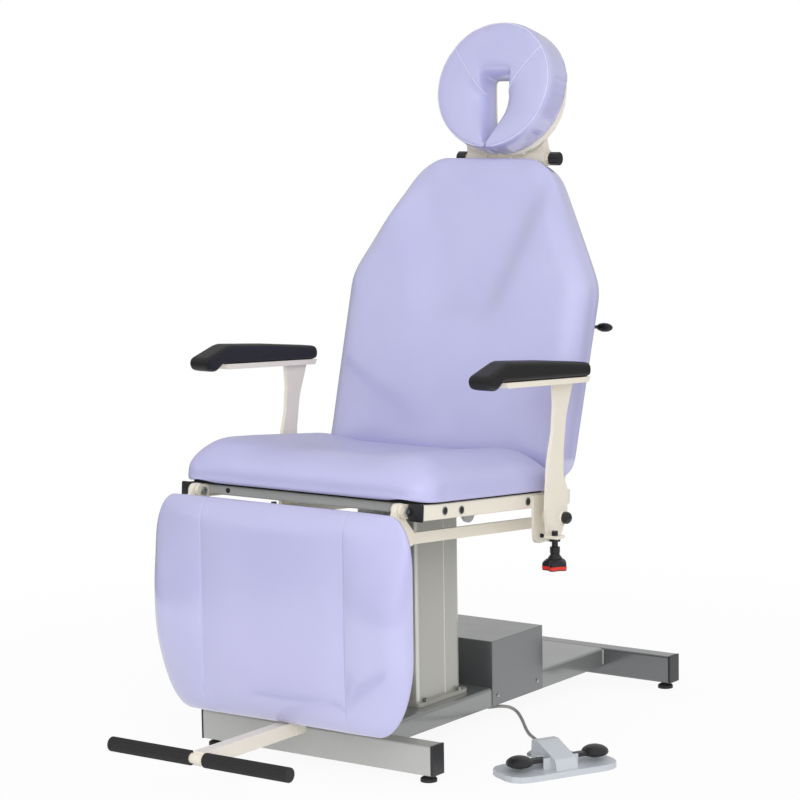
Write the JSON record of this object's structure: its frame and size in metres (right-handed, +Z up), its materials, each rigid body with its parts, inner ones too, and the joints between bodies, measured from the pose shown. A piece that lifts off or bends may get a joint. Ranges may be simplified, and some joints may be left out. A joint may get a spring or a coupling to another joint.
{
  "type": "ear nose and throat treatment chair",
  "caption": "Medical treatment chair on an electric lift column, with linked backrest and legrest, swing-up armrests, ring headrest, sliding footrest and foot control.",
  "frame": {"origin": "middle of the footprint on the floor, measured with the foot control and without its cord", "axes": "+Z up, the sitter looks along -Y, +X is the sitter's left"},
  "size_m": [0.891, 1.3078, 1.4467],
  "materials": {
    "cream_paint": "satin powder coat",
    "grey_metallic_paint": "metallic grey powder coat",
    "cover_grey_paint": "metallic dark grey powder coat",
    "bright_steel": "bright",
    "black_plastic": "moulded",
    "black_moulded_foam": "moulded skin",
    "black_rubber": "ribbed",
    "black_board_lining": "black lining over plywood",
    "lavender_leatherette": "leatherette over foam",
    "grey_pedal_plastic": "moulded",
    "grey_cord": "round jacket"
  },
  "bodies": {
    "base": {"front_base_bar": "grey_metallic_paint", "rear_base_bar": "grey_metallic_paint", "base_spine": "grey_metallic_paint", "end_cap_front_left": "black_plastic", "end_cap_front_right": "black_plastic", "end_cap_rear_left": "black_plastic", "end_cap_rear_right": "black_plastic", "column_outer": "grey_metallic_paint", "lift_drive": "black_plastic", "control_cover": "cover_grey_paint", "control_unit": "black_plastic", "cable_gland": "black_plastic", "pedal_cord": "grey_cord", "pedal_housing": "grey_pedal_plastic"},
    "lift": {"column_inner": "bright_steel", "lift_spindle": "bright_steel", "seat_bracket": "grey_metallic_paint", "seat_rail_left": "cream_paint", "seat_rail_right": "cream_paint", "seat_front_tube": "grey_metallic_paint", "seat_board": "black_board_lining", "seat_cushion": "lavender_leatherette", "armrest_bracket_left": "cream_paint", "armrest_bracket_right": "cream_paint"},
    "legrest": {"legrest_arm_left": "cream_paint", "legrest_arm_right": "cream_paint", "legrest_board": "black_board_lining", "legrest_cushion": "lavender_leatherette", "footrest_sleeve": "cream_paint"},
    "footrest": {"footrest_stem": "cream_paint", "footrest_grip_left": "black_rubber", "footrest_grip_right": "black_rubber"},
    "backrest": {"backrest_arm_left": "cream_paint", "backrest_arm_right": "cream_paint", "backrest_board": "black_board_lining", "backrest_cushion": "lavender_leatherette", "headrest_guide": "cream_paint"},
    "release_lever": {"recline_lever": "bright_steel", "recline_lever_knob": "black_plastic"},
    "gas_cylinder": {"gas_spring_cylinder": "black_plastic"},
    "gas_rod": {"gas_spring_rod": "bright_steel"},
    "headrest_mast": {"headrest_post": "cream_paint"},
    "headrest": {"headrest_plate": "cream_paint", "headrest_cushion": "lavender_leatherette"},
    "raise_pedal": {"pedal_raise": "black_plastic"},
    "lower_pedal": {"pedal_lower": "black_plastic"},
    "link_left": {"link_bar_left": "cream_paint"},
    "armrest_left": {"armrest_frame_left": "cream_paint", "armrest_pad_left": "black_moulded_foam"},
    "lock_knob_left": {"armrest_knob_left": "black_plastic"},
    "clamp_knob_left": {"headrest_knob_left": "black_plastic"},
    "foot_front_left": {"levelling_foot_front_left": "black_plastic"},
    "foot_rear_left": {"levelling_foot_rear_left": "black_plastic"},
    "link_right": {"link_bar_right": "cream_paint"},
    "armrest_right": {"armrest_frame_right": "cream_paint", "armrest_pad_right": "black_moulded_foam"},
    "lock_knob_right": {"armrest_knob_right": "black_plastic"},
    "clamp_knob_right": {"headrest_knob_right": "black_plastic"},
    "foot_front_right": {"levelling_foot_front_right": "black_plastic"},
    "foot_rear_right": {"levelling_foot_rear_right": "black_plastic"}
  },
  "joints": [
    {"name": "lift_height", "type": "slide", "parent": "base", "child": "lift", "axis": [0, 0, 1], "range_m": [0, 0.2]},
    {"name": "recline", "type": "hinge", "parent": "lift", "child": "backrest", "pos_m": [-0.07789, 0.17874, 0.49122], "axis": [-1, 0, 0], "range_deg": [0, 75]},
    {"name": "legrest_lift", "type": "hinge", "parent": "lift", "child": "legrest", "pos_m": [-0.07789, -0.32969, 0.53123], "axis": [-1, 0, 0], "range_deg": [0, 75]},
    {"name": "footrest_slide", "type": "slide", "parent": "legrest", "child": "footrest", "axis": [0, 0, -1], "range_m": [0, 0.08]},
    {"name": "gas_rod_swing", "type": "hinge", "parent": "lift", "child": "gas_rod", "pos_m": [-0.07789, 0.19393, 0.43445], "axis": [-1, 0, 0], "range_deg": [0, 72]},
    {"name": "gas_cylinder_swing", "type": "hinge", "parent": "backrest", "child": "gas_cylinder", "pos_m": [-0.07789, 0.34075, 0.78833], "axis": [-1, 0, 0], "range_deg": [-5, 0]},
    {"name": "release_lever_pull", "type": "hinge", "parent": "backrest", "child": "release_lever", "pos_m": [-0.03789, 0.35428, 0.81776], "axis": [0, -0.9622, 0.2723], "range_deg": [0, 8], "stiffness_Nm_per_rad": 4, "springref_deg": -5.73},
    {"name": "headrest_height", "type": "slide", "parent": "backrest", "child": "headrest_mast", "axis": [0, 0.2723, 0.9622], "range_m": [0, 0.12]},
    {"name": "headrest_tilt", "type": "hinge", "parent": "headrest_mast", "child": "headrest", "pos_m": [-0.07789, 0.43253, 1.1604], "axis": [-1, 0, 0], "range_deg": [0, 50]},
    {"name": "link_swing_left", "type": "hinge", "parent": "backrest", "child": "link_left", "pos_m": [0.16111, 0.20672, 0.43255], "axis": [-1, 0, 0], "range_deg": [-75, 0]},
    {"name": "armrest_swing_left", "type": "hinge", "parent": "lift", "child": "armrest_left", "pos_m": [0.25611, 0.0969, 0.46345], "axis": [-1, 0, 0], "range_deg": [0, 95]},
    {"name": "lock_knob_turn_left", "type": "hinge", "parent": "armrest_left", "child": "lock_knob_left", "pos_m": [0.27411, 0.0449, 0.46345], "axis": [0, 0, 1], "continuous": true},
    {"name": "clamp_knob_turn_left", "type": "hinge", "parent": "headrest_mast", "child": "clamp_knob_left", "pos_m": [0.02811, 0.43253, 1.1604], "axis": [1, 0, 0], "continuous": true},
    {"name": "foot_turn_front_left", "type": "hinge", "parent": "base", "child": "foot_front_left", "pos_m": [0.18411, -0.27106, 0], "axis": [0, 0, 1], "continuous": true},
    {"name": "foot_turn_rear_left", "type": "hinge", "parent": "base", "child": "foot_rear_left", "pos_m": [0.18411, 0.63394, 0], "axis": [0, 0, 1], "continuous": true},
    {"name": "link_swing_right", "type": "hinge", "parent": "backrest", "child": "link_right", "pos_m": [-0.31689, 0.20672, 0.43255], "axis": [-1, 0, 0], "range_deg": [-75, 0]},
    {"name": "armrest_swing_right", "type": "hinge", "parent": "lift", "child": "armrest_right", "pos_m": [-0.41189, 0.0969, 0.46345], "axis": [-1, 0, 0], "range_deg": [0, 95]},
    {"name": "lock_knob_turn_right", "type": "hinge", "parent": "armrest_right", "child": "lock_knob_right", "pos_m": [-0.42989, 0.0449, 0.46345], "axis": [0, 0, 1], "continuous": true},
    {"name": "clamp_knob_turn_right", "type": "hinge", "parent": "headrest_mast", "child": "clamp_knob_right", "pos_m": [-0.18389, 0.43253, 1.1604], "axis": [-1, 0, 0], "continuous": true},
    {"name": "foot_turn_front_right", "type": "hinge", "parent": "base", "child": "foot_front_right", "pos_m": [-0.33989, -0.27106, 0], "axis": [0, 0, 1], "continuous": true},
    {"name": "foot_turn_rear_right", "type": "hinge", "parent": "base", "child": "foot_rear_right", "pos_m": [-0.33989, 0.63394, 0], "axis": [0, 0, 1], "continuous": true},
    {"name": "raise_pedal_press", "type": "hinge", "parent": "base", "child": "raise_pedal", "pos_m": [0.37204, -0.05266, 0.0286], "axis": [-0.8942, 0.4478, 0], "range_deg": [0, 6], "stiffness_Nm_per_rad": 6, "springref_deg": -5.73},
    {"name": "lower_pedal_press", "type": "hinge", "parent": "base", "child": "lower_pedal", "pos_m": [0.34159, -0.11346, 0.0286], "axis": [0.8942, -0.4478, 0], "range_deg": [0, 6], "stiffness_Nm_per_rad": 6, "springref_deg": -5.73}
  ],
  "couplings": [
    {"joint": "legrest_lift", "follows": "recline", "ratio": 1},
    {"joint": "link_swing_left", "follows": "recline", "ratio": -1},
    {"joint": "link_swing_right", "follows": "recline", "ratio": -1},
    {"joint": "gas_rod_swing", "follows": "recline", "ratio": 0.94},
    {"joint": "gas_cylinder_swing", "follows": "recline", "ratio": -0.06}
  ]
}
